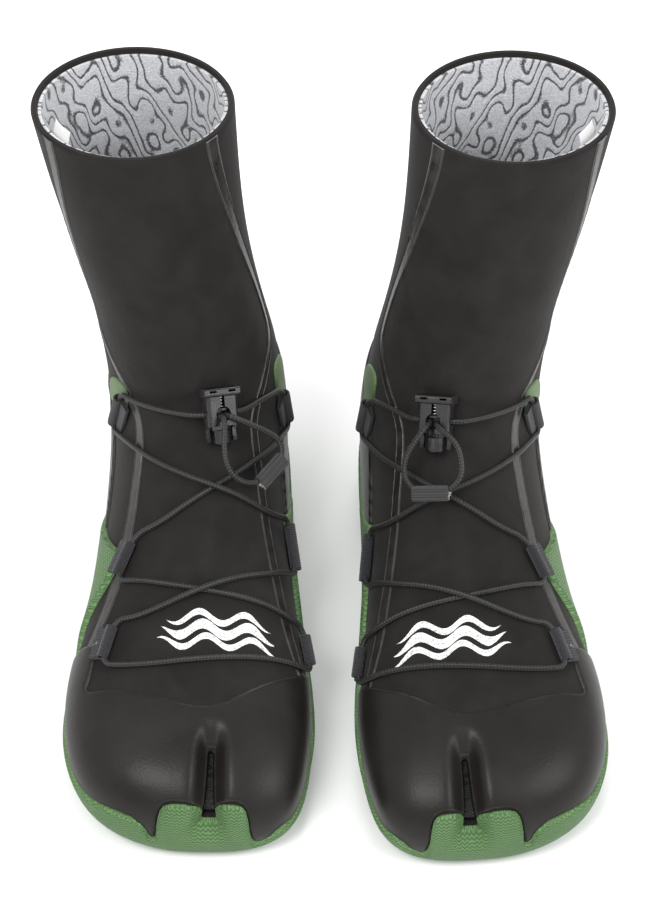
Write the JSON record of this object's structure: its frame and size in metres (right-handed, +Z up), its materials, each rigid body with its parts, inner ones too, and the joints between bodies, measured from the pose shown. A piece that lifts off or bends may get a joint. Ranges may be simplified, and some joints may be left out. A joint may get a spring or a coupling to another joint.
{
  "type": "neoprene boots",
  "caption": "Pair of tall split-toe neoprene surf boots with moulded rubber soles and an elastic lace held by webbing loops and a sprung cord lock.",
  "frame": {"origin": "middle of the pair's footprint, on the surface the soles rest on", "axes": "+Z up; the toes point to -Y and the heels to +Y; +X runs from the wearer's right boot to the left boot"},
  "size_m": [0.2606, 0.2914, 0.2435],
  "materials": {
    "neoprene": "matte fine-knit faced neoprene foam",
    "black_rubber": "smooth satin moulded rubber",
    "green_rubber": "satin moulded rubber with fine zigzag ribs",
    "plush_lining": "plush light grey pile with a black maze pattern",
    "insole_foam": "matte foam under cloth",
    "seam_tape": "glossy liquid seam sealing tape",
    "webbing": "ribbed polyester webbing",
    "bungee_cord": "braided sheath over a rubber core",
    "lock_plastic": "satin acetal plastic",
    "spring_steel": "bright wire",
    "label_cloth": "blank woven label"
  },
  "bodies": {
    "right_boot": {"right_care_label": "label_cloth", "right_cord_lock_body": "lock_plastic", "right_cord_lock_spring": "spring_steel", "right_front_panel": "neoprene", "right_heel_cap": "black_rubber", "right_inner_top_tab": "green_rubber", "right_insole": "insole_foam", "right_lace": "bungee_cord", "right_lining": "plush_lining", "right_loop_inner_low": "webbing", "right_loop_inner_mid": "webbing", "right_loop_inner_top": "webbing", "right_loop_outer_low": "webbing", "right_loop_outer_mid": "webbing", "right_loop_outer_top": "webbing", "right_outer_top_tab": "green_rubber", "right_outsole": "green_rubber", "right_rear_panel": "neoprene", "right_seam_tapes": "seam_tape", "right_toe_cap": "black_rubber", "right_toe_divider": "neoprene"},
    "right_plunger": {"right_cord_lock_plunger": "lock_plastic"},
    "right_tail": {"right_tail_cord": "bungee_cord", "right_pull_tab": "webbing"},
    "left_boot": {"left_care_label": "label_cloth", "left_cord_lock_body": "lock_plastic", "left_cord_lock_spring": "spring_steel", "left_front_panel": "neoprene", "left_heel_cap": "black_rubber", "left_inner_top_tab": "green_rubber", "left_insole": "insole_foam", "left_lace": "bungee_cord", "left_lining": "plush_lining", "left_loop_inner_low": "webbing", "left_loop_inner_mid": "webbing", "left_loop_inner_top": "webbing", "left_loop_outer_low": "webbing", "left_loop_outer_mid": "webbing", "left_loop_outer_top": "webbing", "left_outer_top_tab": "green_rubber", "left_outsole": "green_rubber", "left_rear_panel": "neoprene", "left_seam_tapes": "seam_tape", "left_toe_cap": "black_rubber", "left_toe_divider": "neoprene"},
    "left_plunger": {"left_cord_lock_plunger": "lock_plastic"},
    "left_tail": {"left_tail_cord": "bungee_cord", "left_pull_tab": "webbing"}
  },
  "joints": [
    {"name": "boots_apart", "type": "slide", "parent": "right_boot", "child": "left_boot", "axis": [1, 0, 0], "range_m": [0, 0.15]},
    {"name": "right_lock_press", "type": "slide", "parent": "right_boot", "child": "right_plunger", "axis": [-0.0748, 0.624, 0.7778], "range_m": [0, 0.004], "stiffness_N_per_m": 900, "springref_m": -0.002, "deforming": ["right_cord_lock_spring"]},
    {"name": "right_tail_swing", "type": "hinge", "parent": "right_boot", "child": "right_tail", "pos_m": [-0.04579, 0.02447, 0.11916], "axis": [0.5699, -0.6133, 0.5469], "range_deg": [-28, 18]},
    {"name": "left_lock_press", "type": "slide", "parent": "left_boot", "child": "left_plunger", "axis": [0.0355, 0.6275, 0.7778], "range_m": [0, 0.004], "stiffness_N_per_m": 900, "springref_m": -0.002, "deforming": ["left_cord_lock_spring"]},
    {"name": "left_tail_swing", "type": "hinge", "parent": "left_boot", "child": "left_tail", "pos_m": [0.05007, 0.01943, 0.11916], "axis": [-0.2762, -0.7418, 0.6111], "range_deg": [-18, 28]}
  ]
}
